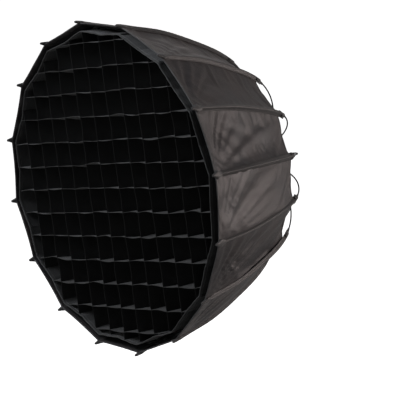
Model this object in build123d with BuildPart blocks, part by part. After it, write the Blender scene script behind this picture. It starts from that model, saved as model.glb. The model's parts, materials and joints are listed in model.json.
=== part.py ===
from build123d import *
from math import cos, sin, radians, tan
import os

# Sixteen-rib parabolic octabox, in millimetres. The origin is the centre of the mount's
# mating face, +Y points back along the mount axis towards the lamp, and +Z is up.
# Profiles are drawn in (radius, forward): forward is the distance in front of the mating face.

# ---- driving dimensions ----
RIBS = 16
STEP_DEG = 360 / RIBS
FIRST_RIB_DEG = -STEP_DEG / 2        # seen from the front, clockwise from the top
TIP_RADIUS = 450                     # half of the 0.90 m span, tip to tip
RIM_FORWARD = 575                    # rim plane
HINGE_RADIUS = 82
HINGE_FORWARD = 38
ROD_RADIUS = 2

# rib curve between the hinge socket and the tip, (radius, forward)
ROD_START = (91, HINGE_FORWARD)
ROD_STRAIGHT_END = (104, HINGE_FORWARD)
ROD_POINTS = [(150, 45), (243, 101), (345, 245), (411, 412)]
ROD_TIP = (TIP_RADIUS, RIM_FORWARD)
TIP_SLOPE_DEG = 13                   # between the rib and the axis, at the tip
NIPPLE_RADIUS = 3

OVERLAP = 1                          # how far one feature runs into the next, or a cut runs past a face

# hub
BORE_RADIUS = 44                     # light path through the mount
SPIGOT_RADIUS = 49
SPIGOT_LENGTH = 12
LUG_RADIUS = 53
LUG_BASE = 8
LUG_THICK = 3
LUG_DEG = 40
PLATE_RADIUS = 74
PLATE_THICK = 4
PLATE_CHAMFER = 0.8
TUBE_INNER = 56
TUBE_OUTER = 60
TUBE_FORWARD = 84
FLANGE_RADIUS = 93
FLANGE_FORWARD = 12

# clevis ears, two for each rib
EAR_GAP = 6.4
EAR_THICK = 3
EAR_RADIUS = 5.5
PIN_RADIUS = 1.5
PIN_PLAY = 0.05

# knuckle
KNUCKLE_WIDTH = 6
NECK_THICK = 6
LUG_ROUND = 5
SOCKET_RADIUS = 4
SOCKET_START = 90
SOCKET_END = 105
HEEL_LENGTH = 16
HEEL_DEG = 18                        # forward of square at rest, and as far back when folded
HEEL_TIP = 2.2
HEEL_THICK = 2.6

# lock ring, which slides on the hub tube
RING_INNER = 60.4
RING_OUTER = 69
RING_LENGTH = 16
RING_CENTRE = HINGE_FORWARD + HEEL_LENGTH * sin(radians(HEEL_DEG))
GROOVE_WIDTH = 2 * HEEL_TIP + 0.6
GROOVE_FLOOR = 63.2
KEYWAY_FLOOR = 64.8
KEYWAY_WIDTH = 7.2

# release buttons, at the two sides of the hub
BUTTON_TRAVEL = 3
BUTTON_PAD_INNER = 97
BUTTON_PAD_OUTER = 103
BUTTON_PAD_WIDTH = 18
BUTTON_PAD_BACK = 4
BUTTON_PAD_FRONT = 16
THUMB_ROUND = 3
BUTTON_WIDTH = 8
BUTTON_DEEP = 5
PRONG_INNER = 72.5
PRONG_OUTER = 76
PRONG_WIDTH = 6
NOSE_INNER = 68.5
NOSE_BACK = 36
NOSE_FRONT = 41
SLOT_PLAY = 0.5
SPRING_SEAT = 62
SPRING_RADIUS = 2.1
SPRING_WIRE = 0.35
SPRING_PITCH = 1.6
SPRING_PLAY = 0.1

# screws that hold the mount plate to the hub
SCREW_CIRCLE = 66
SCREWS = 4
SCREW_RADIUS = 2
SCREW_HEAD_RADIUS = 3.6
SCREW_HEAD_DEEP = 2.2
SCREW_LENGTH = 9
SCREW_PLAY = 0.1
THREAD_PLAY = 0.02
HEX_RADIUS = 1.5
HEX_DEEP = 1.5

# cloth
CLOTH = 1.2
CANOPY_POINTS = [(441, 562), (403, 410), (336, 246), (308, 188)]
CANOPY_SLOPES = ((-0.18, -1), (-0.48, -0.88))
CANOPY_BACK = (62, 78)               # from the last point the cloth leaves the ribs, straight to here
GORE_GAP = 0.4
DIFFUSER_RADIUS = 419
DIFFUSER_FORWARD = 508
GRID_RADIUS = 423.6
GRID_FRONT = 571
GRID_DEPTH = 58
GRID_PITCH = 65
GRID_TURN_DEG = 7.4                  # the strips lie this far round from level
GRID_SHIFT = -21                     # sideways offset of the upright strips
GRID_EDGE = 16                       # the least room between a strip and the rim
GRID_STRIP = 1.5
GRID_BAND = 3
BAFFLE_RADIUS = 322
BAFFLE_FORWARD = 300
STRAP_END = 350
STRAP_LENGTH = 44
STRAP_WIDTH = 12

# front tabs, inside the canopy at each rib, which hold the grid and the diffuser
TAB_WIDTH = 7
TAB_THICK = 1.4
TAB_LENGTH = 57
TAB_RADIUS = 424.4                   # radius of the tab's inner face
TAB_FORWARD = 507                    # its fold line, behind the grid
TAB_ROLL = 1.6                       # rolled edge on the fold line

FRONT = Plane(origin=(0, 0, 0), x_dir=(1, 0, 0), z_dir=(0, -1, 0))


def profile_plane(tangent_offset=0):
    """The (radius, forward) plane of a rib at the top, moved sideways."""
    return Plane(origin=(tangent_offset, 0, 0), x_dir=(0, 0, 1), z_dir=(1, 0, 0))


def at_rib(shape, number):
    """A copy of a top-rib shape, turned to the place of rib `number`, 1 to 16."""
    return shape.rotate(Axis.Y, FIRST_RIB_DEG + (number - 1) * STEP_DEG)


def at_every_rib(shape):
    return [at_rib(shape, number) for number in range(1, RIBS + 1)]


def save(shape, name):
    """Label a finished piece and write it as its own file."""
    with BuildPart() as piece:
        add(shape)
    piece.part.label = name
    export_step(piece.part, f"parts/{name}.step")


def make_mount_plate():
    with BuildPart() as mount_plate:
        with BuildSketch(FRONT):
            Circle(PLATE_RADIUS)
        extrude(amount=PLATE_THICK)
        with BuildSketch(FRONT):
            Circle(SPIGOT_RADIUS)
        extrude(amount=-SPIGOT_LENGTH)
        with BuildSketch(FRONT.offset(-LUG_BASE)):
            for start in (0, 120, 240):
                with BuildLine():
                    inner = CenterArc((0, 0), SPIGOT_RADIUS - OVERLAP, start, LUG_DEG)
                    outer = CenterArc((0, 0), LUG_RADIUS, start, LUG_DEG)
                    Line(inner @ 0, outer @ 0)
                    Line(inner @ 1, outer @ 1)
                make_face()
        extrude(amount=-LUG_THICK)
        with BuildSketch(FRONT.offset(PLATE_THICK)):
            Circle(BORE_RADIUS)
        extrude(amount=-(PLATE_THICK + SPIGOT_LENGTH), mode=Mode.SUBTRACT)
        with BuildSketch(FRONT):
            with PolarLocations(SCREW_CIRCLE, SCREWS, start_angle=45):
                Circle(SCREW_HEAD_RADIUS + SCREW_PLAY)
        extrude(amount=SCREW_HEAD_DEEP, mode=Mode.SUBTRACT)
        with BuildSketch(FRONT):
            with PolarLocations(SCREW_CIRCLE, SCREWS, start_angle=45):
                Circle(SCREW_RADIUS + SCREW_PLAY)
        extrude(amount=PLATE_THICK, mode=Mode.SUBTRACT)
        rim = mount_plate.edges().filter_by(GeomType.CIRCLE)
        chamfer(rim.filter_by(lambda e: abs(e.radius - PLATE_RADIUS) < 0.01), PLATE_CHAMFER)
    return mount_plate.part


def ear_outline():
    """One clevis ear, with the pin hole, in the (radius, forward) plane."""
    reach = HINGE_FORWARD - FLANGE_FORWARD + OVERLAP
    with Locations((HINGE_RADIUS, HINGE_FORWARD - reach / 2)):
        Rectangle(2 * EAR_RADIUS, reach)
    with Locations((HINGE_RADIUS, HINGE_FORWARD)):
        Circle(EAR_RADIUS)
        Circle(PIN_RADIUS, mode=Mode.SUBTRACT)


def make_hub_body():
    ear_offset = (EAR_GAP + EAR_THICK) / 2
    with BuildPart() as ears:
        for side in (-1, 1):
            with BuildSketch(profile_plane(side * ear_offset)):
                ear_outline()
            extrude(amount=EAR_THICK / 2, both=True)
    with BuildPart() as hub_body:
        with BuildSketch(FRONT.offset(PLATE_THICK)):
            Circle(FLANGE_RADIUS)
        extrude(amount=FLANGE_FORWARD - PLATE_THICK)
        with BuildSketch(FRONT.offset(FLANGE_FORWARD)):
            Circle(TUBE_OUTER)
        extrude(amount=TUBE_FORWARD - FLANGE_FORWARD)
        add(at_every_rib(ears.part))
        with BuildSketch(FRONT.offset(PLATE_THICK)):
            Circle(TUBE_INNER)
        extrude(amount=TUBE_FORWARD, mode=Mode.SUBTRACT)
        slot_length = FLANGE_RADIUS + OVERLAP - SPRING_SEAT
        slot_centre = SPRING_SEAT + slot_length / 2
        with BuildSketch(FRONT.offset(FLANGE_FORWARD)):
            with Locations((slot_centre, 0), (-slot_centre, 0)):
                Rectangle(slot_length, BUTTON_WIDTH + 2 * SLOT_PLAY)
        extrude(amount=-(BUTTON_DEEP + SLOT_PLAY), mode=Mode.SUBTRACT)
        with BuildSketch(FRONT.offset(PLATE_THICK)):
            with PolarLocations(SCREW_CIRCLE, SCREWS, start_angle=45):
                Circle(SCREW_RADIUS)
        extrude(amount=SCREW_LENGTH - PLATE_THICK + SCREW_HEAD_DEEP, mode=Mode.SUBTRACT)
    return hub_body.part


def make_mount_screws():
    with BuildPart() as mount_screws:
        with BuildSketch(FRONT):
            with PolarLocations(SCREW_CIRCLE, SCREWS, start_angle=45):
                Circle(SCREW_HEAD_RADIUS)
        extrude(amount=SCREW_HEAD_DEEP)
        with BuildSketch(FRONT.offset(SCREW_HEAD_DEEP)):
            with PolarLocations(SCREW_CIRCLE, SCREWS, start_angle=45):
                Circle(SCREW_RADIUS - THREAD_PLAY)
        extrude(amount=SCREW_LENGTH - SCREW_HEAD_DEEP)
        with BuildSketch(FRONT):
            with PolarLocations(SCREW_CIRCLE, SCREWS, start_angle=45):
                RegularPolygon(HEX_RADIUS, 6)
        extrude(amount=HEX_DEEP, mode=Mode.SUBTRACT)
    return mount_screws.part


def make_hinge_pin():
    with BuildPart() as hinge_pin:
        with BuildSketch(profile_plane()):
            with Locations((HINGE_RADIUS, HINGE_FORWARD)):
                Circle(PIN_RADIUS)
        extrude(amount=EAR_GAP / 2 + EAR_THICK, both=True)
    return hinge_pin.part


def make_knuckle():
    heel_middle = HINGE_RADIUS - HEEL_LENGTH / 2 * cos(radians(HEEL_DEG))
    heel_forward = HINGE_FORWARD + HEEL_LENGTH / 2 * sin(radians(HEEL_DEG))
    with BuildPart() as knuckle:
        with BuildSketch(profile_plane()):
            with Locations((HINGE_RADIUS, HINGE_FORWARD)):
                Circle(LUG_ROUND)
            neck = SOCKET_START + 2 * OVERLAP - HINGE_RADIUS
            with Locations((HINGE_RADIUS + neck / 2, HINGE_FORWARD)):
                Rectangle(neck, NECK_THICK)
            with Locations((heel_middle, heel_forward)):
                SlotCenterToCenter(HEEL_LENGTH, HEEL_THICK, rotation=-HEEL_DEG)
            with Locations((2 * heel_middle - HINGE_RADIUS, RING_CENTRE)):
                Circle(HEEL_TIP)
        extrude(amount=KNUCKLE_WIDTH / 2, both=True)
        with BuildSketch(Plane(origin=(0, -HINGE_FORWARD, SOCKET_START), z_dir=(0, 0, 1))):
            Circle(SOCKET_RADIUS)
        extrude(amount=SOCKET_END - SOCKET_START)
        with BuildSketch(Plane(origin=(0, -HINGE_FORWARD, ROD_START[0]), z_dir=(0, 0, 1))):
            Circle(ROD_RADIUS + PIN_PLAY)
        extrude(amount=SOCKET_END - ROD_START[0], mode=Mode.SUBTRACT)
        with BuildSketch(profile_plane()):
            with Locations((HINGE_RADIUS, HINGE_FORWARD)):
                Circle(PIN_RADIUS + PIN_PLAY)
        extrude(amount=KNUCKLE_WIDTH, both=True, mode=Mode.SUBTRACT)
    return knuckle.part


def make_rod():
    slope = radians(TIP_SLOPE_DEG)
    with BuildPart() as rod:
        with BuildLine(profile_plane()):
            Line(ROD_START, ROD_STRAIGHT_END)
            Spline(
                ROD_STRAIGHT_END,
                *ROD_POINTS,
                ROD_TIP,
                tangents=((1, 0), (sin(slope), cos(slope))),
            )
        with BuildSketch(Plane(origin=(0, -ROD_START[1], ROD_START[0]), z_dir=(0, 0, 1))):
            Circle(ROD_RADIUS)
        sweep()
        with Locations((0, -ROD_TIP[1], ROD_TIP[0])):
            Sphere(NIPPLE_RADIUS)
    return rod.part


def make_front_tab():
    """A webbing tab that folds about its rolled rear edge."""
    with BuildPart() as front_tab:
        with BuildSketch(profile_plane()):
            with Locations((TAB_RADIUS, TAB_FORWARD)):
                Circle(TAB_ROLL)
            with Locations((TAB_RADIUS + TAB_THICK / 2, TAB_FORWARD + TAB_LENGTH / 2)):
                Rectangle(TAB_THICK, TAB_LENGTH)
        extrude(amount=TAB_WIDTH / 2, both=True)
    return front_tab.part


def make_lock_ring():
    half = RING_LENGTH / 2
    with BuildPart() as lock_ring:
        with BuildSketch(FRONT.offset(RING_CENTRE - half)):
            Circle(RING_OUTER)
            Circle(RING_INNER, mode=Mode.SUBTRACT)
        extrude(amount=RING_LENGTH)
        with BuildSketch(FRONT.offset(RING_CENTRE - GROOVE_WIDTH / 2)):
            Circle(RING_OUTER + OVERLAP)
            Circle(GROOVE_FLOOR, mode=Mode.SUBTRACT)
        extrude(amount=GROOVE_WIDTH, mode=Mode.SUBTRACT)
        keyway_centre = (KEYWAY_FLOOR + RING_OUTER + OVERLAP) / 2
        with BuildSketch(FRONT.offset(RING_CENTRE - half)):
            with Locations((keyway_centre, 0), (-keyway_centre, 0)):
                Rectangle(RING_OUTER + OVERLAP - KEYWAY_FLOOR, KEYWAY_WIDTH)
        extrude(amount=RING_LENGTH, mode=Mode.SUBTRACT)
    return lock_ring.part


def box_between(low, high):
    """A box from its lowest to its highest corner, in the frame of the part."""
    size = [b - a for a, b in zip(low, high)]
    centre = [(a + b) / 2 for a, b in zip(low, high)]
    with Locations(tuple(centre)):
        Box(*size)


def make_release_button():
    """The button at the +X side: a thumb pad, a shank in the flange slot, a prong and a nose."""
    shank_back = -(FLANGE_FORWARD - BUTTON_DEEP)
    with BuildPart() as release_button:
        box_between(
            (PRONG_INNER, -FLANGE_FORWARD, -BUTTON_WIDTH / 2),
            (BUTTON_PAD_INNER, shank_back, BUTTON_WIDTH / 2),
        )
        box_between(
            (BUTTON_PAD_INNER, -BUTTON_PAD_FRONT, -BUTTON_PAD_WIDTH / 2),
            (BUTTON_PAD_OUTER, -BUTTON_PAD_BACK, BUTTON_PAD_WIDTH / 2),
        )
        thumb = release_button.edges().filter_by(Axis.Y).group_by(Axis.X)[-1]
        fillet(thumb, THUMB_ROUND)
        box_between(
            (PRONG_INNER, -NOSE_FRONT, -PRONG_WIDTH / 2),
            (PRONG_OUTER, shank_back, PRONG_WIDTH / 2),
        )
        box_between(
            (NOSE_INNER, -NOSE_FRONT, -PRONG_WIDTH / 2),
            (PRONG_INNER, -NOSE_BACK, PRONG_WIDTH / 2),
        )
    return release_button.part


def make_button_spring():
    """A compression spring along +X, between the flange and the button's shank."""
    start = SPRING_SEAT + SPRING_WIRE + SPRING_PLAY
    height = PRONG_INNER - SPRING_SEAT - 2 * (SPRING_WIRE + SPRING_PLAY)
    centre_y = -(FLANGE_FORWARD - BUTTON_DEEP / 2)
    with BuildPart() as button_spring:
        with BuildLine():
            coil = Helix(
                pitch=SPRING_PITCH,
                height=height,
                radius=SPRING_RADIUS,
                center=(start, centre_y, 0),
                direction=(1, 0, 0),
            )
        with BuildSketch(Plane(origin=coil @ 0, z_dir=coil % 0)):
            Circle(SPRING_WIRE)
        sweep(path=coil, is_frenet=True)
    return button_spring.part


def make_gore():
    """One canopy panel at the top, straight from seam to seam, below the rods beside it."""
    flat = cos(radians(STEP_DEG / 2))
    outside = [(radius * flat, forward) for radius, forward in CANOPY_POINTS]
    inside = [(radius - CLOTH, forward + CLOTH) for radius, forward in outside]
    inner_back = (CANOPY_BACK[0], CANOPY_BACK[1] + CLOTH)
    with BuildPart() as gore:
        with BuildSketch(profile_plane()):
            with BuildLine():
                outer = Spline(*outside, tangents=CANOPY_SLOPES)
                inner = Spline(*inside, tangents=CANOPY_SLOPES)
                Polyline(outer @ 1, CANOPY_BACK, inner_back, inner @ 1)
                Line(outer @ 0, inner @ 0)
            make_face()
        extrude(amount=TIP_RADIUS * sin(radians(STEP_DEG)), both=True)
        with BuildSketch(FRONT):
            with BuildLine():
                reach = 1.05 * TIP_RADIUS
                spread = reach * tan(radians(STEP_DEG / 2))
                lift = GORE_GAP / 2 / sin(radians(STEP_DEG / 2))
                Polyline((0, lift), (-spread, reach + lift), (spread, reach + lift), close=True)
            make_face()
        extrude(amount=RIM_FORWARD, mode=Mode.INTERSECT)
    return gore.part


def polygon_at_ribs(corner_radius, **options):
    """The sixteen-sided outline whose corners are at the ribs."""
    RegularPolygon(corner_radius, RIBS, rotation=90 + FIRST_RIB_DEG, **options)


def make_front_diffuser():
    with BuildPart() as front_diffuser:
        with BuildSketch(FRONT.offset(DIFFUSER_FORWARD)):
            polygon_at_ribs(DIFFUSER_RADIUS)
        extrude(amount=CLOTH)
    return front_diffuser.part


def strip_places(shift):
    """Where the parallel strips of the egg crate lie, across them."""
    lines = int(GRID_RADIUS / GRID_PITCH)
    places = [index * GRID_PITCH + shift for index in range(-lines, lines + 1)]
    return [place for place in places if abs(place) < GRID_RADIUS - GRID_EDGE]


def make_grid():
    """The egg crate: a band round the rim and two crossing sets of strips."""
    with BuildPart() as grid:
        with BuildSketch(FRONT.offset(GRID_FRONT - GRID_DEPTH)):
            with BuildSketch(mode=Mode.PRIVATE) as strips:
                for place in strip_places(GRID_SHIFT):
                    with Locations((place, 0)):
                        Rectangle(GRID_STRIP, 2 * GRID_RADIUS)
                for place in strip_places(0):
                    with Locations((0, place)):
                        Rectangle(2 * GRID_RADIUS, GRID_STRIP)
            add(strips.sketch, rotation=GRID_TURN_DEG)
            polygon_at_ribs(GRID_RADIUS, mode=Mode.INTERSECT)
            with BuildSketch(mode=Mode.PRIVATE) as band:
                polygon_at_ribs(GRID_RADIUS)
                polygon_at_ribs(GRID_RADIUS - GRID_BAND, mode=Mode.SUBTRACT)
            add(band.sketch)
        extrude(amount=GRID_DEPTH)
    return grid.part


def make_inner_baffle():
    with BuildPart() as inner_baffle:
        with BuildSketch(FRONT.offset(BAFFLE_FORWARD)):
            polygon_at_ribs(BAFFLE_RADIUS)
            strap_centre = STRAP_END - STRAP_LENGTH / 2
            with PolarLocations(strap_centre, RIBS, start_angle=90 + FIRST_RIB_DEG):
                Rectangle(STRAP_LENGTH, STRAP_WIDTH)
        extrude(amount=CLOTH)
    return inner_baffle.part


def main():
    os.makedirs("parts", exist_ok=True)
    save(make_mount_plate(), "mount_plate")
    save(make_hub_body(), "hub_body")
    save(make_mount_screws(), "mount_screws")
    save(at_every_rib(make_hinge_pin()), "hinge_pins")
    save(make_lock_ring(), "lock_ring")
    button = make_release_button()
    save(button, "release_button_right")
    save(button.rotate(Axis.Y, 180), "release_button_left")
    spring = make_button_spring()
    save([spring, spring.rotate(Axis.Y, 180)], "button_springs")
    panel = make_gore().rotate(Axis.Y, STEP_DEG / 2)
    save(at_every_rib(panel), "canopy")
    save(make_front_diffuser(), "front_diffuser")
    save(make_grid(), "grid")
    save(make_inner_baffle(), "inner_baffle")
    rod = make_rod()
    knuckle = make_knuckle()
    front_tab = make_front_tab()
    for number in range(1, RIBS + 1):
        save(at_rib(rod, number), f"rod_{number:02d}")
        save(at_rib(knuckle, number), f"knuckle_{number:02d}")
        save(at_rib(front_tab, number), f"front_tab_{number:02d}")


main()
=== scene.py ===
"""Looks of a sixteen-rib parabolic octabox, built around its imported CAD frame, in metres."""
import json
from math import atan2, cos, hypot, pi, radians, sin, sqrt, tan

import bpy
import numpy as np
from mathutils import Matrix, Vector, noise


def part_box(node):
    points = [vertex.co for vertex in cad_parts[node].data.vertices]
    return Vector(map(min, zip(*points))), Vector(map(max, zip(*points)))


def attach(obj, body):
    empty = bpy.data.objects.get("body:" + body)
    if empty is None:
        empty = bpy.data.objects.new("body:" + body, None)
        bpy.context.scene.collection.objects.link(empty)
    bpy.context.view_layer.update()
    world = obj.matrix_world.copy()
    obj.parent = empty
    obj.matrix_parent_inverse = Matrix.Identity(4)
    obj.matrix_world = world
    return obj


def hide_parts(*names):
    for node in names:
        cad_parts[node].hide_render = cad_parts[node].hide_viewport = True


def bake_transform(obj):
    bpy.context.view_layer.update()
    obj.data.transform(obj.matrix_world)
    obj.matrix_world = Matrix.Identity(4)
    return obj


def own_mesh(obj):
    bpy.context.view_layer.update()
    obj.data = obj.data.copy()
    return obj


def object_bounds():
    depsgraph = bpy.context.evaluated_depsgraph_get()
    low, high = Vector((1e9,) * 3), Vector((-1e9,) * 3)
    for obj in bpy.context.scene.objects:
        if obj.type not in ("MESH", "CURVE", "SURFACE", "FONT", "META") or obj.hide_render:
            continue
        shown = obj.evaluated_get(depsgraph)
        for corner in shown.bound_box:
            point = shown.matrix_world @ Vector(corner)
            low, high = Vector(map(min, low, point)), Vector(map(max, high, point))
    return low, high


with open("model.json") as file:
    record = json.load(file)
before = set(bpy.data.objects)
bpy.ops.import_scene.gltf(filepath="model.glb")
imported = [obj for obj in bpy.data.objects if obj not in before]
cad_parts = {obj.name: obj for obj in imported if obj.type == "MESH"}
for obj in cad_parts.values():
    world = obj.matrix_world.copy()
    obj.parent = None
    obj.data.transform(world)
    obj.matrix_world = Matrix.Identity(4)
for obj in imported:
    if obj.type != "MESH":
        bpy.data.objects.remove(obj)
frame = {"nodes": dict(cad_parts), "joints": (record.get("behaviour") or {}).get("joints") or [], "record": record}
CAD_LOW, CAD_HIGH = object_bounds()

# ---------------------------------------------------------------- places, read from the frame
JOINTS = {joint["name"]: joint for joint in frame["joints"]}
RIBS = sum(name.startswith("rib_") for name in JOINTS)
STEP = 2 * pi / RIBS
HALF_TAN = tan(STEP / 2)
FIRST_HINGE = Vector(JOINTS["rib_01_fold"]["pos_m"])
HINGE_RADIUS = hypot(FIRST_HINGE.x, FIRST_HINGE.z)
HINGE_FORWARD = -FIRST_HINGE.y
FIRST_ANGLE = atan2(FIRST_HINGE.x, FIRST_HINGE.z)
FOLD = radians(JOINTS["rib_01_fold"]["range_deg"][1])
DIFFUSER = -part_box("front_diffuser")[1][1]
BAFFLE = -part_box("inner_baffle")[1][1]
GRID_FRONT = -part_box("grid")[0][1]
GRID_BACK = -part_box("grid")[1][1]
GRID_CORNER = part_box("grid")[1][0] / cos(STEP / 2)
DIFFUSER_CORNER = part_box("front_diffuser")[1][0] / cos(STEP / 2)
CANOPY_REAR = -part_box("canopy")[1][1]
NIPPLE = 0.003                     # radius of the ball on a rod's tip
HUB_TUBE = 0.0605                  # where the cloth meets the hub's tube

# ---------------------------------------------------------------- sizes of the soft pieces
PANEL_COLUMNS = 20
SIDE_ROWS = 61
SEGMENTS = 10                      # pieces of a side strip from rim to shoulder
HEM_ROWS = 8                       # rows of the first of them
CLOTH = 0.0008                     # thickness of the canopy's cloth
CLOTH_DROP = 0.003                 # the cloth's middle, below the rod's
PANEL_SAG = 0.006
HEM_SCALLOP = 0.003
HEM_TUCK = 0.8                     # the folded hem's width, as a share of the room between the ribs
PANEL_WIDE, PANEL_LONG = 0.16, 0.42  # the size of panel that the creases are laid out on
FAN_REACH = 0.16                   # how far from a rim corner its fan of creases is deepest
SETTLE_STEPS = 18                  # of the cloth simulation
SETTLE_LIMIT = 0.0035              # the most that it may move a point
BACK_CROWN = 0.006                 # bulge of the rear cloth, forwards
PLEAT = 0.0020                     # half depth of the rear cloth's pleats

RIB_PER_TURN = 0.50                # length of rib per radian about the rim's centre
SLEEVE_HALF = 0.0046               # at the rim; it widens by SLEEVE_FLARE towards the rear
SLEEVE_TOP = 0.0034
SLEEVE_FLARE = 0.0022
FLANGE = 0.0032                    # beyond the sleeve's raised part
SEAM = 0.0016                      # its stitches, beyond the raised part
STITCH, STITCH_PITCH, STITCH_HALF = 0.0030, 0.0048, 0.00035
EAR_LENGTH, EAR_NECK, EAR_FLARE, EAR_TAPER = 0.022, 0.0060, 0.0050, 0.0080  # the last three half widths
EAR_HALF_HEIGHT, EAR_TIP_HEIGHT = 0.0036, 0.0024
EAR_OVERHANG = 0.0065              # past the rod's tip
TAIL_LENGTH, TAIL_HALF, TAIL_HALF_HEIGHT = 0.020, 0.0098, 0.0052

GRID_PITCH = 0.065
GRID_TURN = radians(7.4)           # the crate's strips lie this far round from level
GRID_SHIFT = -0.021                # sideways offset of its upright strips
GRID_EDGE = 0.016                  # the least room between a strip and the rim
STRIP = 0.0009                     # thickness of a strip
STRIP_STEP = 0.006                 # distance between the points along a strip
STRIP_DEPTHS = (0.0, 0.045, 0.35, 0.7, 1.0)
CELL_SLACK = 0.0060                # the most that a strip bows between two others
BAND = 0.0016                      # thickness of the band round the grid
BAND_BOW = 0.005                   # how far it lies in, midway between two ribs
DIFFUSER_HOLLOW = 0.009            # how far the diffuser's edge lies in, midway between two ribs
THIN_CLOTH = 0.0005                # thickness of the diffuser and the baffle
STRAP_HALF, STRAP = 0.005, 0.0010  # the baffle's straps: half width and thickness


def rib_angle(rib):
    return FIRST_ANGLE + (rib - 1) * STEP


def place(angle, radius, forward, across=0.0):
    """A point by its radius and distance forward in the plane at `angle`, moved across that plane."""
    return np.array((
        radius * sin(angle) + across * cos(angle),
        -forward,
        radius * cos(angle) - across * sin(angle),
    ))


def straight_edge(corner, turn):
    """Radius of a straight edge between two corners, at `turn` from the nearer corner's rib."""
    return corner * cos(STEP / 2) / cos(STEP / 2 - abs(turn))


def outward_of(angle):
    return np.array((sin(angle), 0.0, cos(angle)))


def wander(x, y=0.0, z=0.0):
    """Smooth noise, about -1 to 1, the same each run."""
    return noise.noise(Vector((x, y, z)))


def ease(t):
    """From 0 to 1 with a soft start and end."""
    t = min(1.0, max(0.0, t))
    return t * t * (3 - 2 * t)


# ---------------------------------------------------------------- the rib's curve, from the first rod's mesh
def fit_rib():
    """The rib's distance from the rim centre as a polynomial of the angle behind the rim plane."""
    angle = rib_angle(1)
    points = [vertex.co for vertex in frame["nodes"]["rod_01"].data.vertices]
    radius = np.array([p.x * sin(angle) + p.z * cos(angle) for p in points])
    forward = np.array([-p.y for p in points])
    rim = forward.max() - NIPPLE
    turn = np.arctan2(rim - forward, radius)
    far = np.hypot(radius, rim - forward)
    return np.polyfit(turn, far, 9), rim, radius.max() - NIPPLE


RIB_FIT, RIM, TIP_RADIUS = fit_rib()
TURN_FRONT = 0.0085 / TIP_RADIUS   # where the side cloth starts, behind the rim plane
TURN_SHOULDER = radians(50.8)      # where it ends and the rear cloth leaves the ribs
BACK_BEND = 0.12                   # radius inside which the rear cloth is cut off as a piece that rides on no rib


def rib_point(turn, lift=0.0):
    """(radius, forward) on the rib's middle line, moved outwards by lift."""
    def bare(t):
        far = np.polyval(RIB_FIT, t)
        return np.array((far * cos(t), RIM - far * sin(t)))
    along = bare(turn + 1e-3) - bare(turn - 1e-3)
    along /= np.linalg.norm(along)
    return bare(turn) + lift * np.array((-along[1], along[0]))


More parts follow.
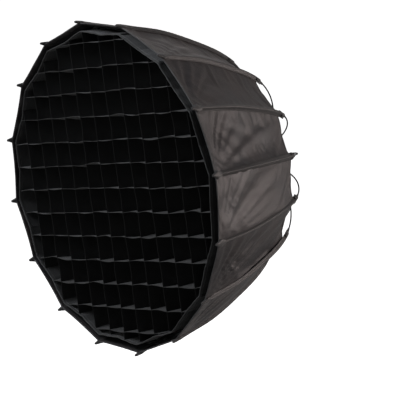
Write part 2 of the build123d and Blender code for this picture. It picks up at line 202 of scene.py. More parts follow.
# ---------------------------------------------------------------- mesh building
class Mesh:
    """Gathers closed sheets and lofts, then makes one Blender object of them."""

    def __init__(self):
        self.points, self.faces, self.normals, self.slots, self.uvs = [], [], [], [], []

    def face(self, corners, normals, slot, uvs=None):
        self.faces.append(corners)
        self.normals.extend(normals)
        self.slots.append(slot)
        self.uvs.extend(uvs or [(0.0, 0.0)] * len(corners))

    def sheet(self, points, thickness, front=0, back=None, normals=None, shift=(0.0, 0.0), lip=None):
        """A cloth of that thickness about a grid of points. Its front is where column x row points.

        lip is the material of its first row and rim, where that is another one.
        """
        points = np.asarray(points, float)
        rows, columns = points.shape[:2]
        normals = grid_normals(points) if normals is None else normals
        back = front if back is None else back
        start = len(self.points)
        for side in (0.5, -0.5):
            self.points.extend((points + normals * thickness * side).reshape(-1, 3))
        flat = normals.reshape(-1, 3)
        length = np.linalg.norm(points[-1, columns // 2] - points[0, columns // 2]) / max(1, rows - 1)
        width = np.linalg.norm(points[rows // 2, -1] - points[rows // 2, 0]) / max(1, columns - 1)
        under = rows * columns

        def uv(index):
            return (shift[0] + index % columns * width, shift[1] + index // columns * length)

        for i in range(rows - 1):
            slots = (front, back) if lip is None or i else (lip, lip)
            for j in range(columns - 1):
                a = i * columns + j
                quad = (a, a + 1, a + columns + 1, a + columns)
                self.face([start + v for v in quad], [flat[v] for v in quad], slots[0], [uv(v) for v in quad])
                quad = (a, a + columns, a + columns + 1, a + 1)
                self.face([start + under + v for v in quad], [-flat[v] for v in quad], slots[1],
                          [uv(v) for v in quad])
        ring = [(0, j) for j in range(columns)]
        ring += [(i, columns - 1) for i in range(1, rows)]
        ring += [(rows - 1, j) for j in range(columns - 2, -1, -1)]
        ring += [(i, 0) for i in range(rows - 2, 0, -1)]
        ring = [i * columns + j for i, j in ring]
        for a, b in zip(ring, ring[1:] + ring[:1]):
            corners = [start + b, start + a, start + under + a, start + under + b]
            self.face(corners, [self.flat_normal(corners)] * 4, front if lip is None else lip)

    def flat_normal(self, corners):
        a, b, c = (self.points[v] for v in corners[:3])
        normal = np.cross(b - a, c - a)
        size = np.linalg.norm(normal)
        return normal / size if size > 1e-12 else np.array((0.0, 0.0, 1.0))

    def loft(self, loops, slot=0):
        """A closed skin through loops of points, each anticlockwise seen from the way it goes."""
        loops = np.asarray(loops, float)
        rows, count = loops.shape[:2]
        start = len(self.points)
        self.points.extend(loops.reshape(-1, 3))
        around = np.roll(loops, -1, 1) - np.roll(loops, 1, 1)
        along = np.gradient(loops, axis=0)
        normals = unit(np.cross(around, along))
        for i in range(rows - 1):
            for j in range(count):
                k = (j + 1) % count
                quad = ((i, j), (i, k), (i + 1, k), (i + 1, j))
                corners = [start + r * count + c for r, c in quad]
                uvs = [(c * 0.002, r * 0.01) for r, c in quad]
                self.face(corners, [normals[r, c] for r, c in quad], slot, uvs)
        for row, order in ((0, -1), (rows - 1, 1)):
            corners = [start + row * count + j for j in range(count)][::order]
            spokes = [self.points[v] - self.points[corners[0]] for v in corners[1:]]
            cap = unit(np.sum([np.cross(a, b) for a, b in zip(spokes, spokes[1:])], axis=0))
            self.face(corners, [cap] * count, slot)

    def make(self, name, body, materials, slot, replaces=()):
        """The Blender object, which rides on that body."""
        mesh = bpy.data.meshes.new(name)
        mesh.from_pydata([tuple(p) for p in self.points], [], self.faces)
        for material in materials:
            mesh.materials.append(material)
        mesh.polygons.foreach_set("material_index", self.slots)
        mesh.polygons.foreach_set("use_smooth", [True] * len(self.faces))
        layer = mesh.uv_layers.new(name="UVMap")
        layer.data.foreach_set("uv", np.array(self.uvs, np.float32).ravel())
        mesh.normals_split_custom_set([tuple(n) for n in self.normals])
        piece = bpy.data.objects.new(name, mesh)
        bpy.context.scene.collection.objects.link(piece)
        if body:
            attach(piece, body)
        if replaces:
            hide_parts(*replaces)
        return piece


def unit(vectors):
    size = np.linalg.norm(vectors, axis=-1, keepdims=True)
    return vectors / np.maximum(size, 1e-12)


def grid_normals(points, closed=False):
    """Normals of a grid of points, whose last column meets the first one where it is closed."""
    if closed:
        across = np.roll(points, -1, 1) - np.roll(points, 1, 1)
    else:
        across = np.gradient(points, axis=1)
    return unit(np.cross(across, np.gradient(points, axis=0)))


# ---------------------------------------------------------------- materials
def new_material(name):
    material = bpy.data.materials.new(name)
    material.use_nodes = True
    nodes = material.node_tree.nodes
    return material, nodes, material.node_tree.links, nodes["Principled BSDF"]


def tone(nodes, links, shader, dark, light, scale):
    """Base colour that drifts between two tones."""
    where = nodes.new("ShaderNodeTexCoord")
    cloud = nodes.new("ShaderNodeTexNoise")
    cloud.inputs["Scale"].default_value = scale
    cloud.inputs["Detail"].default_value = 4.0
    ramp = nodes.new("ShaderNodeValToRGB")
    ramp.color_ramp.elements[0].position = 0.3
    ramp.color_ramp.elements[1].position = 0.7
    ramp.color_ramp.elements[0].color = (*dark, 1)
    ramp.color_ramp.elements[1].color = (*light, 1)
    links.new(where.outputs["Object"], cloud.inputs["Vector"])
    links.new(cloud.outputs["Fac"], ramp.inputs["Fac"])
    links.new(ramp.outputs["Color"], shader.inputs["Base Color"])
    return where, cloud


def rough(nodes, links, shader, low, high, cloud):
    """Roughness that follows the same cloud as the colour."""
    spread = nodes.new("ShaderNodeMapRange")
    spread.inputs["To Min"].default_value = low
    spread.inputs["To Max"].default_value = high
    links.new(cloud.outputs["Fac"], spread.inputs["Value"])
    links.new(spread.outputs["Result"], shader.inputs["Roughness"])


WAVE_SCALE = 0.314                 # the wave texture's scale that gives one band per metre


def weave(nodes, links, where, period, height):
    """Bump of crossed threads, period in metres along the cloth's own two directions."""
    threads = []
    for direction in ("X", "Y"):
        wave = nodes.new("ShaderNodeTexWave")
        wave.bands_direction = direction
        wave.wave_profile = "SIN"
        wave.inputs["Scale"].default_value = WAVE_SCALE / period
        wave.inputs["Distortion"].default_value = 0.4
        links.new(where.outputs["UV"], wave.inputs["Vector"])
        threads.append(wave)
    both = nodes.new("ShaderNodeMath")
    both.operation = "MULTIPLY"
    links.new(threads[0].outputs["Fac"], both.inputs[0])
    links.new(threads[1].outputs["Fac"], both.inputs[1])
    bump = nodes.new("ShaderNodeBump")
    bump.inputs["Strength"].default_value = 0.6
    bump.inputs["Distance"].default_value = height
    links.new(both.outputs["Value"], bump.inputs["Height"])
    return bump


def crumple(nodes, links, where, scale, height, under):
    """Bump of small soft creases, on top of the bump `under`."""
    cloud = nodes.new("ShaderNodeTexNoise")
    cloud.inputs["Scale"].default_value = scale
    cloud.inputs["Detail"].default_value = 6
    cloud.inputs["Distortion"].default_value = 0.6
    bump = nodes.new("ShaderNodeBump")
    bump.inputs["Strength"].default_value = 0.7
    bump.inputs["Distance"].default_value = height
    links.new(where.outputs["Object"], cloud.inputs["Vector"])
    links.new(cloud.outputs["Fac"], bump.inputs["Height"])
    links.new(under.outputs["Normal"], bump.inputs["Normal"])
    return bump


def cloth(name, dark, light, roughness=(0.5, 0.7), sheen=0.2, sheen_tint=(1, 1, 1), period=0.0012,
          height=0.00025, crease=0.0006, specular=0.5):
    """Woven cloth. Its threads are `period` apart and its small creases `crease` deep, in metres."""
    material, nodes, links, shader = new_material(name)
    where, cloud = tone(nodes, links, shader, dark, light, 9)
    rough(nodes, links, shader, *roughness, cloud)
    shader.inputs["Sheen Weight"].default_value = sheen
    shader.inputs["Sheen Roughness"].default_value = 0.45
    shader.inputs["Sheen Tint"].default_value = (*sheen_tint, 1)
    shader.inputs["Specular IOR Level"].default_value = specular
    bump = weave(nodes, links, where, period, height)
    bump = crumple(nodes, links, where, 26, crease, bump)
    links.new(bump.outputs["Normal"], shader.inputs["Normal"])
    return material


def hard(name, dark, light, metallic=0.0, roughness=(0.35, 0.5), scale=60, height=0.0002, grain=1.0):
    """Metal or moulded plastic. A grain above 1 stretches the noise into brushed lines about Y."""
    material, nodes, links, shader = new_material(name)
    where, cloud = tone(nodes, links, shader, dark, light, scale)
    shader.inputs["Metallic"].default_value = metallic
    rough(nodes, links, shader, *roughness, cloud)
    fine = nodes.new("ShaderNodeTexNoise")
    fine.inputs["Scale"].default_value = scale * 12
    fine.inputs["Detail"].default_value = 3
    stretch = nodes.new("ShaderNodeMapping")
    stretch.inputs["Scale"].default_value = (1, grain, 1)
    links.new(where.outputs["Object"], stretch.inputs["Vector"])
    links.new(stretch.outputs["Vector"], fine.inputs["Vector"])
    bump = nodes.new("ShaderNodeBump")
    bump.inputs["Strength"].default_value = 0.5
    bump.inputs["Distance"].default_value = height
    links.new(fine.outputs["Fac"], bump.inputs["Height"])
    links.new(bump.outputs["Normal"], shader.inputs["Normal"])
    return material


BLACK_CLOTH = cloth("black_cloth", (0.0120, 0.0124, 0.0146), (0.0295, 0.0240, 0.0232), (0.34, 0.50), 0.12,
                    (1.0, 0.94, 0.90), specular=0.45)
SLEEVE_CLOTH = cloth("sleeve_cloth", (0.014, 0.013, 0.013), (0.022, 0.021, 0.021), (0.36, 0.50), 0.12,
                     (1.0, 0.95, 0.92), specular=0.45)
EAR_CLOTH = cloth("ear_cloth", (0.030, 0.029, 0.028), (0.055, 0.052, 0.051), (0.36, 0.50), 0.15,
                  specular=0.45)
SILVER = cloth("silver_lining", (0.55, 0.55, 0.56), (0.68, 0.68, 0.69), (0.22, 0.34), 0.0, crease=0.002)
SILVER.node_tree.nodes["Principled BSDF"].inputs["Metallic"].default_value = 0.8
GRID_CLOTH = cloth("grid_cloth", (0.0130, 0.0130, 0.0134), (0.0240, 0.0240, 0.0246), (0.42, 0.55), 0.30,
                   specular=0.35)
# Painted shade: a darker copy of grid_cloth, for the upright strips' faces and front edges, which lie in shade,
# and for the hem's black lining.
PAINTED_SHADE_CLOTH = cloth("black_cloth_painted_shade", (0.0040, 0.0040, 0.0042), (0.0072, 0.0072, 0.0076), (0.45, 0.6), 0.08,
                     specular=0.3)
# Painted highlight: the edges of the level strips and the band's cord drift from dark to light, as light caught
# along them.
LIP_PAINTED_HIGHLIGHT = cloth("grid_lip_painted_highlight", (0.008, 0.008, 0.008), (0.048, 0.048, 0.047), (0.4, 0.55), 0.2, period=0.0010)
DIFFUSER_CLOTH = cloth("diffuser_cloth", (0.74, 0.74, 0.72), (0.82, 0.82, 0.80), (0.6, 0.75), 0.15)
WEBBING = cloth("webbing", (0.006, 0.006, 0.006), (0.011, 0.011, 0.011), (0.5, 0.65), 0.1, period=0.0022,
                height=0.0005)
# Painted highlight: the hem's cord is lightened to the tone of the panels' highlights.
PIPING_PAINTED_HIGHLIGHT = cloth("piping_painted_highlight", (0.030, 0.028, 0.028), (0.065, 0.061, 0.060), (0.4, 0.55), 0.15, period=0.0010)
THREAD = cloth("thread", (0.026, 0.025, 0.025), (0.040, 0.038, 0.038), (0.45, 0.6), 0.1, period=0.0006)
ZINC = hard("zinc", (0.45, 0.45, 0.46), (0.58, 0.58, 0.58), 1.0, (0.28, 0.4), 200)


# ---------------------------------------------------------------- canopy
def side_turn(row):
    """Angle behind the rim plane of a row of the side cloth."""
    return TURN_FRONT + (TURN_SHOULDER - TURN_FRONT) * row / (SIDE_ROWS - 1)


def folded_share(radius, forward):
    """How much of its width a canopy strip keeps at that place when the ribs are folded."""
    out, ahead = radius - HINGE_RADIUS, forward - HINGE_FORWARD
    return (HINGE_RADIUS + out * cos(FOLD) - ahead * sin(FOLD)) / radius


def ridged(x, y=0.0, z=0.0):
    """Noise with sharp crests, about 0 to 1."""
    return 1 - sqrt((2.4 * wander(x, y, z)) ** 2 + 0.03)


def panel_folds(panel, s, u):
    """Slack folds of one panel, in metres: a fan from each rim corner and long soft creases.

    s runs from rim to shoulder and u from rib to rib. The fan from the panel's lower corner is the stronger.
    """
    seed = panel * 7.31
    lower = -cos(rib_angle(panel + 1) + STEP) + cos(rib_angle(panel + 1))
    depth = 0.0
    for corner, side in ((0.0, -1), (1.0, 1)):
        beside, behind = abs(u - corner) * PANEL_WIDE, s * PANEL_LONG
        far = hypot(beside, behind)
        bearing = atan2(beside, behind + 0.004)
        strength = 0.30 + 2.6 * max(0.0, side * lower)
        fan = ridged(bearing * 4.2 + seed + side, far * 0.9, seed)
        depth += 0.0085 * strength * (fan - 0.45) * far / FAN_REACH * np.exp(1 - far / FAN_REACH) * 0.8
    slant = 0.5 * wander(seed, 4.0)
    crease = wander(u * 2.4 + s * slant * 4 + seed, s * 2.0, 1.7)
    depth += 0.0036 * crease + 0.0010 * wander(u * 7 + seed, s * 7 + slant, 5.1)
    return depth * (4 * u * (1 - u)) ** 0.6 * (0.3 + 0.7 * ease(s / 0.14))


def canopy_points():
    """The side cloth, rows from the rim back to the shoulder, columns round from the first rib."""
    points = np.zeros((SIDE_ROWS, RIBS * PANEL_COLUMNS, 3))
    for i in range(SIDE_ROWS):
        s = i / (SIDE_ROWS - 1)
        radius, forward = rib_point(side_turn(i), -CLOTH_DROP)
        ahead = rib_point(side_turn(i), 0.0) - rib_point(side_turn(i), -1.0)
        for panel in range(RIBS):
            a = rib_angle(panel + 1)
            left = place(a, radius, forward)
            right = place(a + STEP, radius, forward)
            middle = outward_of(a + STEP / 2) * ahead[0] + np.array((0, -ahead[1], 0))
            for c in range(PANEL_COLUMNS):
                u = c / PANEL_COLUMNS
                bow = 4 * u * (1 - u)
                inward = PANEL_SAG * bow * sin(pi * min(1, s * 0.75))
                inward -= panel_folds(panel, s, u)
                point = left * (1 - u) + right * u - middle * inward
                point += np.array((0, HEM_SCALLOP * bow * (1 - ease(s / 0.2)), 0))
                points[i, panel * PANEL_COLUMNS + c] = point
    return points


def drape(points):
    """Lets the side cloth settle between its ribs with a little slack, by cloth simulation."""
    rows, columns = points.shape[:2]
    mesh = bpy.data.meshes.new("canopy_drape")
    faces = [
        (i * columns + j, i * columns + (j + 1) % columns,
         (i + 1) * columns + (j + 1) % columns, (i + 1) * columns + j)
        for i in range(rows - 1) for j in range(columns)
    ]
    mesh.from_pydata([tuple(p) for p in points.reshape(-1, 3)], [], faces)
    cloth_piece = bpy.data.objects.new("canopy_drape", mesh)
    bpy.context.scene.collection.objects.link(cloth_piece)
    pins = cloth_piece.vertex_groups.new(name="pins")
    held = [
        i * columns + j for i in range(rows) for j in range(columns)
        if j % PANEL_COLUMNS == 0 or i in (0, rows - 1)
    ]
    pins.add(held, 1.0, "REPLACE")
    modifier = cloth_piece.modifiers.new("Cloth", "CLOTH")
    settings = modifier.settings
    settings.vertex_group_mass = "pins"
    settings.quality = 5
    settings.mass = 0.12
    settings.tension_stiffness = 30
    settings.compression_stiffness = 12
    settings.shear_stiffness = 12
    settings.bending_stiffness = 0.4
    settings.shrink_min = -0.006
    settings.effector_weights.gravity = 0.25
    for step in range(1, SETTLE_STEPS + 1):
        bpy.context.scene.frame_set(step)
    settled = cloth_piece.evaluated_get(bpy.context.evaluated_depsgraph_get())
    draped = np.array([v.co for v in settled.data.vertices]).reshape(points.shape)
    bpy.context.scene.frame_set(1)
    bpy.data.objects.remove(cloth_piece)
    moved = draped - points
    size = np.linalg.norm(moved, axis=2, keepdims=True)
    return points + moved * np.minimum(1, SETTLE_LIMIT / np.maximum(size, 1e-9))


def strip_columns(rib):
    """The columns of the strip that belongs to a rib, from mid-panel to mid-panel."""
    middle = (rib - 1) * PANEL_COLUMNS
    half = PANEL_COLUMNS // 2
    return [(middle + offset) % (RIBS * PANEL_COLUMNS) for offset in range(-half, half + 1)]


def add_edging(mesh, line, along, up, section, cord_radius, cord_slot):
    """A band folded round the edge of a cloth, of that (along, up) section, with a cord at its lip."""
    mesh.loft([[p + d * a + n * b for a, b in section] for p, d, n in zip(line, along, up)])
    add_cord(mesh, line - along * 0.0012, up, cord_radius, cord_slot)


def add_hem(mesh, points, normals):
    """The folded front edge of the side cloth. Its cord takes the piping cloth, lightened with a painted
    highlight.
    """
    section = ((-0.0016, 0.0), (-0.0010, 0.0015), (0.0010, 0.0019), (0.0030, 0.0011), (0.0100, 0.0010),
               (0.0108, 0.0), (0.0100, -0.0010), (0.0010, -0.0016), (-0.0010, -0.0014))
    add_edging(mesh, points[0], unit(points[1] - points[0]), normals[0], section, 0.0016, 2)


def add_cord(mesh, line, normals, radius, slot=0):
    """A sewn cord along a seam, on the cloth's outer side."""
    along = unit(np.gradient(line, axis=0))
    turns = np.arange(8) * pi / 4
    loops = []
    for p, n, d in zip(line, normals, along):
        side = np.cross(d, n)
        loops.append([p + n * radius * (0.3 + cos(t)) + side * radius * sin(t) for t in turns])
    mesh.loft(loops, slot)


def fold_with_rib(piece):
    """Gives a piece its own copy of its mesh."""
    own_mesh(piece)


def make_canopy():
    """The side cloth: a strip on each rib, of SEGMENTS pieces."""
    points = canopy_points()
    points = drape(points)
    normals = grid_normals(points, closed=True)
    spare = SIDE_ROWS - 1 - HEM_ROWS
    bounds = [0] + [HEM_ROWS + round(k * spare / (SEGMENTS - 1)) for k in range(SEGMENTS)]
    for rib in range(1, RIBS + 1):
        columns = strip_columns(rib)
        for segment in range(SEGMENTS):
            first, last = bounds[segment], bounds[segment + 1]
            part = points[first:last + 1][:, columns]
            part_normals = normals[first:last + 1][:, columns]
            mesh = Mesh()
            mesh.sheet(part, CLOTH, 0, 1, part_normals, (0, first * 0.012))
            lining, keep = SILVER, folded_share(*rib_point(side_turn(last)))
            if segment == 0:
                add_hem(mesh, part, part_normals)
                # the hem's black lining takes the cloth darkened with painted shade
                lining, keep = PAINTED_SHADE_CLOTH, HEM_TUCK * folded_share(*rib_point(side_turn(first)))
            if segment == SEGMENTS - 1:
                add_cord(mesh, part[-1], part_normals[-1], 0.0013)
            piece = mesh.make(f"canopy_{rib:02d}_{segment + 1:02d}", f"rib_{rib:02d}",
                              [BLACK_CLOTH, lining, PIPING_PAINTED_HIGHLIGHT], "canopy_cloth", ["canopy"])
            fold_with_rib(piece)
    return points


def make_canopy_back(side_points):
    """Rear cloth, from the shoulder in to the hub. Its outer part rides on the rib and its inner part on no body.
    """
    rows, bend_rows = 19, 5
    shoulder = rib_point(TURN_SHOULDER, -CLOTH_DROP)
    hub = np.array((HUB_TUBE + 0.0012, CANOPY_REAR + 0.001))
    bend = (shoulder[0] - BACK_BEND) / (shoulder[0] - hub[0])
    steps = np.concatenate((np.linspace(0, bend, rows - bend_rows + 1), np.linspace(bend, 1, bend_rows)[1:]))
    for rib in range(1, RIBS + 1):
        angle = rib_angle(rib)
        columns = strip_columns(rib)
        points = np.zeros((len(steps), len(columns), 3))
        for j, column in enumerate(columns):
            turn = (j / (len(columns) - 1) - 0.5) * STEP
            flat = straight_edge(1.0, turn)
            points[0, j] = side_points[-1, column]
            for i, t in enumerate(steps[1:], 1):
                radius, forward = shoulder * (1 - t) + hub * t
                forward += BACK_CROWN * sin(pi * t)
                point = place(angle + turn, radius * (flat + (1 - flat) * ease(t)), forward)
                pleat = PLEAT * sin(turn * RIBS * 4 + rib) * sin(pi * min(1, t * 0.9)) ** 2
                point[1] += pleat + 0.0028 * wander(turn * 14 + rib * 3, t * 4) * sin(pi * t)
                points[i, j] = point
        normals = grid_normals(points)
        last = rows - bend_rows + 1
        materials = [BLACK_CLOTH, SILVER]
        outer, inner = Mesh(), Mesh()
        outer.sheet(points[:last], CLOTH, 0, 1, normals[:last])
        inner.sheet(points[last - 1:], CLOTH, 0, 1, normals[last - 1:], (0, shoulder[0]))
        piece = outer.make(f"canopy_back_{rib:02d}", f"rib_{rib:02d}", materials, "canopy_cloth")
        fold_with_rib(piece)
        declare_sector()
        piece = inner.make(f"canopy_throat_{rib:02d}", None, materials, "canopy_cloth")
        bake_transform(piece)
        declare_sector()


def declare_sector():
    """Reads the shoulder's place on the rib and keeps nothing. A gore of the rear cloth was cut as a trapezium,
    from one radius to the other, without its pleats.
    """
    radius, forward = rib_point(TURN_SHOULDER)


# ---------------------------------------------------------------- sleeves, ears and tails on the ribs
def sleeve_section(angle, turn, width, top):
    """One section of a sewn sleeve: flanges on the sloping panels and a raised round over the rod."""
    base = -CLOTH_DROP + CLOTH / 2
    flange = width + FLANGE
    loop = []
    for w in (-1.0, -0.75, -0.56, -0.46, -0.34, -0.17, 0.0, 0.17, 0.34, 0.46, 0.56, 0.75, 1.0):
        across = w * flange
        inside = max(0.0, 1 - (across / width) ** 2)
        lift = base - abs(across) * HALF_TAN + 0.0007 + (top - base) * inside ** 0.6
        loop.append(place(angle, *rib_point(turn, lift), across))
    for w in (0.95, 0.5, 0.0, -0.5, -0.95):
        across = w * flange
        lift = base - abs(across) * HALF_TAN - 0.0010
        loop.append(place(angle, *rib_point(turn, lift), across))
    return loop


def oval_section(angle, turn, half_width, half_height, count=18):
    """An oval round the rod, for the ears and tails."""
    loop = []
    for n in range(count):
        bearing = 2 * pi * n / count
        lift = half_height * sin(bearing) - 0.0004
        loop.append(place(angle, *rib_point(turn, lift), -half_width * cos(bearing)))
    return loop


def stitch(mesh, at, along, up):
    """One raised thread of a seam."""
    side = unit(np.cross(along, up)) * STITCH_HALF
    loops = []
    for share, size in ((-0.5, 0.25), (-0.3, 1.0), (0.3, 1.0), (0.5, 0.25)):
        middle = at + along * STITCH * share
        loops.append([middle + side * size, middle + up * 0.0005 * size,
                      middle - side * size, middle - up * 0.0002 * size])
    mesh.loft(loops, 2)


def add_sleeve(mesh, rib, start, end):
    loops = []
    for turn in np.linspace(start, end, 64):
        more = SLEEVE_FLARE * turn / TURN_SHOULDER + 0.0005 * wander(rib * 5.1, turn * 40)
        loops.append(sleeve_section(rib_angle(rib), turn, SLEEVE_HALF + more, SLEEVE_TOP + more * 0.6)[::-1])
    mesh.loft(loops, 0)


def add_tail(mesh, angle, start, end):
    """The dark pointed end of a sleeve, at the rear."""
    loops = []
    turns = np.linspace(start, end, 9)
    for n, turn in enumerate(turns):
        t = n / (len(turns) - 1)
        half = TAIL_HALF * (1 - 0.78 * ease(t))
        loops.append(oval_section(angle, turn, half, TAIL_HALF_HEIGHT - 0.0022 * t, 14)[::-1])
    mesh.loft(loops, 1)


def add_ear(mesh, angle, start):
    """The reinforced corner of the rim, round the rod's tip. It widens, then runs to a point."""
    tip = -EAR_OVERHANG / TIP_RADIUS
    loops = []
    for t in np.linspace(0, 1, 13):
        turn = start + (tip - start) * t
        half = EAR_NECK + EAR_FLARE * ease(t / 0.5) - EAR_TAPER * max(0.0, (t - 0.5) / 0.5) ** 0.7
        high = EAR_HALF_HEIGHT + 0.0006 * sin(pi * min(1, t * 1.1))
        loops.append(oval_section(angle, turn, half, high if t < 1 else EAR_TIP_HEIGHT))
    mesh.loft(loops, 3)


def add_seam(mesh, angle, side, start, end):
    """The row of stitches along one side of a sleeve."""
    for turn in np.arange(start, end, STITCH_PITCH / RIB_PER_TURN):
        across = side * (SLEEVE_HALF + SLEEVE_FLARE * turn / TURN_SHOULDER + SEAM)
        lift = -CLOTH_DROP + CLOTH / 2 - abs(across) * HALF_TAN + 0.0009
        here = place(angle, *rib_point(turn, lift), across)
        ahead = place(angle, *rib_point(turn + 0.004, lift), across)
        up = place(angle, *rib_point(turn, lift + 0.01), across) - here
        stitch(mesh, here, unit(ahead - here), unit(up))


def make_sleeves():
    ear_end = TURN_FRONT + EAR_LENGTH / TIP_RADIUS
    for rib in range(1, RIBS + 1):
        angle = rib_angle(rib)
        end = TURN_SHOULDER + radians(3.5 + 4.0 * wander(rib * 3.7, 9.1))
        mesh = Mesh()
        add_sleeve(mesh, rib, ear_end - 0.03, end)
        add_tail(mesh, angle, end - 0.05, end + TAIL_LENGTH / RIB_PER_TURN)
        add_ear(mesh, angle, ear_end)
        for side in (-1, 1):
            add_seam(mesh, angle, side, ear_end, end - 0.02)
        mesh.make(f"sleeve_{rib:02d}", f"rib_{rib:02d}", [SLEEVE_CLOTH, WEBBING, THREAD, EAR_CLOTH],
                  "canopy_cloth")


# ---------------------------------------------------------------- grid, diffuser and baffle
def crate_shift(x, z, deep):
    """How far a point of the crate has wandered. deep is 0 at its front edges and 1 at the back."""
    where = deep * 0.45
    return np.array((
        0.0030 * wander(x * 7, z * 7, where) + 0.0018 * wander(x * 19, z * 19, where + 3),
        0.0020 * wander(x * 9, z * 9, 8 + where),
        0.0050 * wander(x * 7, z * 7, 20 + where) + 0.0034 * wander(x * 17, z * 17, 23 + where)
        + 0.0085 * deep * wander(x * 12, z * 12, 40),
    ))


def crate_drop(x, z, deep):
    """The level strips sag towards the back, most at the upper left, and not at the rim."""
    held = min(1.0, hypot(x, z) / GRID_CORNER) ** 8
    return deep * (0.0062 - 0.0078 * x / GRID_CORNER + 0.0035 * z / GRID_CORNER) * (1 - held)


def strip_places(shift):
    """Where the parallel strips of the crate lie, across them."""
    lines = int(GRID_CORNER / GRID_PITCH)
    places = [index * GRID_PITCH + shift for index in range(-lines, lines + 1)]
    return [at for at in places if abs(at) < GRID_CORNER - GRID_EDGE]


def strip_spans(start, run):
    """(low, high, rib) stretches of the line start + t * run in the crate's plane, one for each sector."""
    low, high = -1.0, 1.0
    inner = GRID_CORNER * cos(STEP / 2) - 0.004
    for rib in range(1, RIBS + 1):
        side = outward_of(rib_angle(rib) + STEP / 2)[[0, 2]]
        room, speed = inner - side @ start, side @ run
        if speed > 1e-9:
            high = min(high, room / speed)
        elif speed < -1e-9:
            low = max(low, room / speed)

    def rib_at(t):
        x, z = start + t * run
        return int(((atan2(x, z) - FIRST_ANGLE + STEP / 2) % (2 * pi)) // STEP) + 1

    spans, begin = [], low
    places = np.linspace(low, high, 1200)
    for a, b in zip(places, places[1:]):
        if rib_at(a) != rib_at(b) or b == places[-1]:
            spans.append((begin, b, rib_at(a)))
            begin = b
    return [span for span in spans if span[1] - span[0] > 0.002]


def crate_strips(level):
    """(rib, points) of every stretch of the level or the upright strips."""
    cosine, sine = cos(GRID_TURN), sin(GRID_TURN)
    run, across = ((cosine, sine), (-sine, cosine)) if level else ((-sine, cosine), (cosine, sine))
    run, across = np.array(run), np.array(across)
    made = []
    for line, at in enumerate(strip_places(0.0 if level else GRID_SHIFT)):
        for low, high, rib in strip_spans(across * at, run):
            ts = np.linspace(low, high, max(2, int((high - low) / STRIP_STEP) + 1))
            points = np.zeros((len(STRIP_DEPTHS), len(ts), 3))
            for j, t in enumerate(ts):
                x, z = across * at + run * t
                cell = (t - (GRID_SHIFT if level else 0.0)) / GRID_PITCH
                slack = wander((cell // 1) * 3.3 + line * 1.7, line * 5.9 + level) * sin(pi * (cell % 1))
                for i, deep in enumerate(STRIP_DEPTHS):
                    forward = GRID_FRONT - 0.002 - deep * (GRID_FRONT - GRID_BACK + 0.001)
                    bulge = CELL_SLACK * slack * (1 - 0.7 * deep)
                    point = np.array((x + across[0] * bulge, -forward, z + across[1] * bulge))
                    point += crate_shift(x, z, deep)
                    if level:
                        point[2] -= crate_drop(x, z, deep)
                    points[i, j] = point
            made.append((rib, points))
    return made


def band_points(rib):
    """The band round the grid, from rib to rib of one sector, hollow between its corners."""
    columns, rows = 29, 4
    points = np.zeros((rows, columns, 3))
    for j in range(columns):
        turn = (j / (columns - 1) - 0.5) * STEP
        bow = BAND_BOW * (abs(turn) / (STEP / 2)) ** 1.5
        loose = 0.0015 * wander(rib * 4.1 + j * 0.35, 2.2)
        for i in range(rows):
            deep = i / (rows - 1)
            radius = straight_edge(GRID_CORNER, turn) - bow + loose * (1 - deep)
            forward = GRID_FRONT - 0.0015 - bow * 0.6 - deep * (GRID_FRONT - GRID_BACK - 0.003)
            points[i, j] = place(rib_angle(rib) + turn, radius, forward)
    return points


def make_grid():
    """The crate and its band, cut into a piece for each rib, which folds back with the rib's front tab."""
    meshes = {rib: Mesh() for rib in range(1, RIBS + 1)}
    area = {rib: 0.0 for rib in meshes}
    # slot 2, on the upright strips, holds the cloth darkened with painted shade
    for level, cloth_slot, lip_slot in ((True, 0, 1), (False, 2, None)):
        for rib, points in crate_strips(level):
            # the level strips' lips, slot 1, take the cloth with a painted highlight
            meshes[rib].sheet(points, STRIP, cloth_slot, lip=lip_slot)
            area[rib] += sheet_area(points)
    for rib, mesh in meshes.items():
        band = band_points(rib)
        mesh.sheet(band, BAND)
        area[rib] += sheet_area(band)
        add_band_lip(mesh, band)
        piece = mesh.make(f"grid_{rib:02d}", f"front_tab_{rib:02d}", [GRID_CLOTH, LIP_PAINTED_HIGHLIGHT, PAINTED_SHADE_CLOTH],
                          "grid_cloth", ["grid"])
        fold_with_rib(piece)


def sheet_area(points):
    across = np.diff(points, axis=1)[:-1]
    along = np.diff(points, axis=0)[:, :-1]
    return np.linalg.norm(np.cross(across, along), axis=2).sum()


def add_band_lip(mesh, points):
    """The bound front edge of the grid's band. Its cord takes the lip cloth, which carries a painted highlight."""
    along = unit(points[1] - points[0])
    out = unit(np.cross(np.gradient(points[0], axis=0), along))
    section = ((-0.0012, 0.0), (-0.0008, 0.0014), (0.0012, 0.0016), (0.0080, 0.0012),
               (0.0080, -0.0012), (0.0012, -0.0016), (-0.0008, -0.0014))
    add_edging(mesh, points[0], along, out, section, 0.0012, 1)


def sector_points(rib, corner, forward, rows, columns, sag, hollow=0.0):
    """A sector of a round cloth held at the ribs. Between them its edge is hollow by that much."""
    angle = rib_angle(rib)
    inner = 0.004
    points = np.zeros((rows, columns, 3))
    for i in range(rows):
        t = inner / corner + (1 - inner / corner) * (1 - i / (rows - 1))
        for j in range(columns):
            turn = (j / (columns - 1) - 0.5) * STEP
            edge = straight_edge(corner, turn) - hollow * (abs(turn) / (STEP / 2)) ** 1.5
            p = place(angle + turn, edge * t, forward)
            p[1] += sag * (1 - t * t) + 0.0016 * wander(p[0] * 9, p[2] * 9, 4) * (1 - t)
            points[i, j] = p
    return points[:, ::-1]


def make_diffuser():
    for rib in range(1, RIBS + 1):
        points = sector_points(rib, DIFFUSER_CORNER, DIFFUSER, 16, 9, 0.004, DIFFUSER_HOLLOW)
        mesh = Mesh()
        mesh.sheet(points, THIN_CLOTH)
        piece = mesh.make(f"front_diffuser_{rib:02d}", f"front_tab_{rib:02d}", [DIFFUSER_CLOTH],
                          "diffuser_cloth", ["front_diffuser"])
        fold_with_rib(piece)


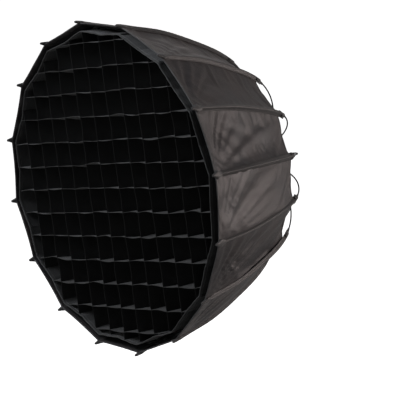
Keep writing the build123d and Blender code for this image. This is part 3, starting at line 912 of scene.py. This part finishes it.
def make_baffle():
    """The inner baffle is smaller than its CAD solid, by the length of the straps that hold it."""
    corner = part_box("inner_baffle")[1][0] / cos(STEP / 2) - 0.033
    for rib in range(1, RIBS + 1):
        angle = rib_angle(rib)
        points = sector_points(rib, corner, BAFFLE, 12, 7, 0.006)
        mesh = Mesh()
        mesh.sheet(points, THIN_CLOTH)
        strap = np.array([
            [place(angle, radius, BAFFLE + 0.0004, across) for across in (STRAP_HALF, -STRAP_HALF)]
            for radius in np.linspace(corner + 0.030, corner - 0.020, 6)
        ])
        mesh.sheet(strap, STRAP, 1)
        piece = mesh.make(f"inner_baffle_{rib:02d}", "speedring", [DIFFUSER_CLOTH, WEBBING],
                          "diffuser_cloth", ["inner_baffle"])
        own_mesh(piece)


# ---------------------------------------------------------------- the two springs
def make_springs():
    """A copy of each spring's own shape, on the speedring."""
    coils = frame["nodes"]["button_springs"].data
    for name, side in (("right", 1), ("left", -1)):
        mesh = bpy.data.meshes.new(f"button_spring_{name}")
        kept = [vertex.index for vertex in coils.vertices if vertex.co.x * side > 0]
        number = {index: n for n, index in enumerate(kept)}
        faces = [[number[v] for v in face.vertices] for face in coils.polygons if face.vertices[0] in number]
        points = [tuple(coils.vertices[index].co) for index in kept]
        mesh.from_pydata(points, [], faces)
        mesh.polygons.foreach_set("use_smooth", [True] * len(faces))
        mesh.materials.append(ZINC)
        piece = bpy.data.objects.new(f"button_spring_{name}", mesh)
        bpy.context.scene.collection.objects.link(piece)
        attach(piece, "speedring")
        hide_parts("button_springs")
        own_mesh(piece)


# ---------------------------------------------------------------- finishes of the CAD nodes
def dress_frame():
    steel = hard("rod_steel", (0.020, 0.020, 0.021), (0.035, 0.035, 0.036), 0.6, (0.30, 0.42), 120)
    nylon = hard("nylon", (0.012, 0.012, 0.013), (0.022, 0.022, 0.023), 0.0, (0.42, 0.55), 90, 0.0003)
    casting = hard("casting", (0.014, 0.014, 0.015), (0.024, 0.024, 0.025), 0.3, (0.45, 0.6), 140, 0.0004)
    alloy = hard("alloy", (0.52, 0.52, 0.53), (0.62, 0.62, 0.63), 1.0, (0.25, 0.38), 50, 0.0001, 14)
    button = hard("button_grey", (0.040, 0.040, 0.042), (0.060, 0.060, 0.062), 0.0, (0.35, 0.45), 90, 0.0002)
    finishes = {"rod_metal": steel, "knuckle_plastic": nylon, "hub_casting": casting, "mount_metal": alloy,
                "steel": ZINC, "ring_plastic": nylon, "button_plastic": button, "tab_webbing": WEBBING}
    slots = {part["node"]: part["material_slot"] for part in frame["record"]["subparts"]}
    for name, node in frame["nodes"].items():
        finish = finishes.get(slots[name])
        if finish:
            node.data.materials.clear()
            node.data.materials.append(finish)


# ---------------------------------------------------------------- room, light and camera
FLOOR_DROP = 0.30                  # the floor, below the object's lowest point


def make_room():
    """A pale floor that sweeps up into a round wall. Only the camera sees it, so it throws no light."""
    floor_height = CAD_LOW[2] - FLOOR_DROP
    profile = [(0.0, 0.0), (12.0, 0.0), (16.0, 0.6), (18.5, 2.4), (19.6, 5.0), (20.0, 9.0), (20.0, 16.0)]
    sides = 64
    points = [(0.0, 0.0, floor_height)]
    for radius, height in profile[1:]:
        turns = [n * 2 * pi / sides for n in range(sides)]
        points += [(radius * cos(turn), radius * sin(turn), floor_height + height) for turn in turns]
    faces = [(0, 1 + n, 1 + (n + 1) % sides) for n in range(sides)]
    for ring in range(len(profile) - 2):
        low, high = 1 + ring * sides, 1 + (ring + 1) * sides
        faces += [(low + n, high + n, high + (n + 1) % sides, low + (n + 1) % sides) for n in range(sides)]
    mesh = bpy.data.meshes.new("floor")
    mesh.from_pydata(points, [], faces)
    mesh.polygons.foreach_set("use_smooth", [True] * len(faces))
    material, nodes, links, shader = new_material("floor")
    tone(nodes, links, shader, (0.84, 0.84, 0.84), (0.88, 0.88, 0.88), 0.6)
    shader.inputs["Roughness"].default_value = 0.9
    shader.inputs["Emission Color"].default_value = (1, 1, 1, 1)
    shader.inputs["Emission Strength"].default_value = 0.90
    mesh.materials.append(material)
    floor = bpy.data.objects.new("floor", mesh)
    floor.visible_diffuse = floor.visible_glossy = floor.visible_shadow = False
    bpy.context.scene.collection.objects.link(floor)
    world = bpy.data.worlds.new("studio")
    world.use_nodes = True
    background = world.node_tree.nodes["Background"]
    background.inputs["Color"].default_value = (1, 1, 1, 1)
    background.inputs["Strength"].default_value = 0.20
    bpy.context.scene.world = world
    bpy.context.scene.view_settings.view_transform = "Standard"


def area_light(name, at, size, power, colour):
    """A square light that looks at the middle of the dome."""
    data = bpy.data.lights.new(name, "AREA")
    data.size = size
    data.energy = power
    data.color = colour
    light = bpy.data.objects.new(name, data)
    light.location = at
    light.rotation_mode = "QUATERNION"
    light.rotation_quaternion = (Vector((0, -RIM / 2, 0)) - Vector(at)).to_track_quat("-Z", "Y")
    bpy.context.scene.collection.objects.link(light)


def make_lights():
    area_light("side_key", (2.2, 1.5, 0.3), 0.9, 42, (1.0, 0.86, 0.82))
    area_light("back_sheen", (1.3, 2.8, -0.3), 0.7, 9, (1.0, 0.88, 0.84))
    area_light("top", (0.6, 0.2, 2.7), 1.4, 2, (0.62, 0.68, 1.0))
    area_light("crate_light", (-0.7, -2.6, 2.0), 1.2, 62, (0.90, 0.94, 1.0))


def make_camera():
    """Looks along (azimuth, elevation) past the rim's centre, which lies off the picture's middle."""
    azimuth, elevation, roll = radians(49.9), radians(11.7), radians(-2.9)
    distance, aside, above = 5.0, 0.247, -0.029
    back = Vector((sin(azimuth) * cos(elevation), -cos(azimuth) * cos(elevation), sin(elevation)))
    right = Vector((cos(azimuth), sin(azimuth), 0))
    up = back.cross(right)
    right, up = cos(roll) * right + sin(roll) * up, -sin(roll) * right + cos(roll) * up
    data = bpy.data.cameras.new("camera")
    data.sensor_width = 36
    data.lens = 169.3
    data.clip_start, data.clip_end = 0.1, 100
    camera = bpy.data.objects.new("camera", data)
    at = Vector((0, -RIM, 0)) + back * distance + right * aside + up * above
    camera.matrix_world = Matrix((
        (right.x, up.x, back.x, at.x),
        (right.y, up.y, back.y, at.y),
        (right.z, up.z, back.z, at.z),
        (0, 0, 0, 1),
    ))
    bpy.context.scene.collection.objects.link(camera)
    bpy.context.scene.camera = camera


make_room()
make_lights()
make_camera()
dress_frame()
side_points = make_canopy()
make_canopy_back(side_points)
make_sleeves()
make_grid()
make_diffuser()
make_baffle()
make_springs()
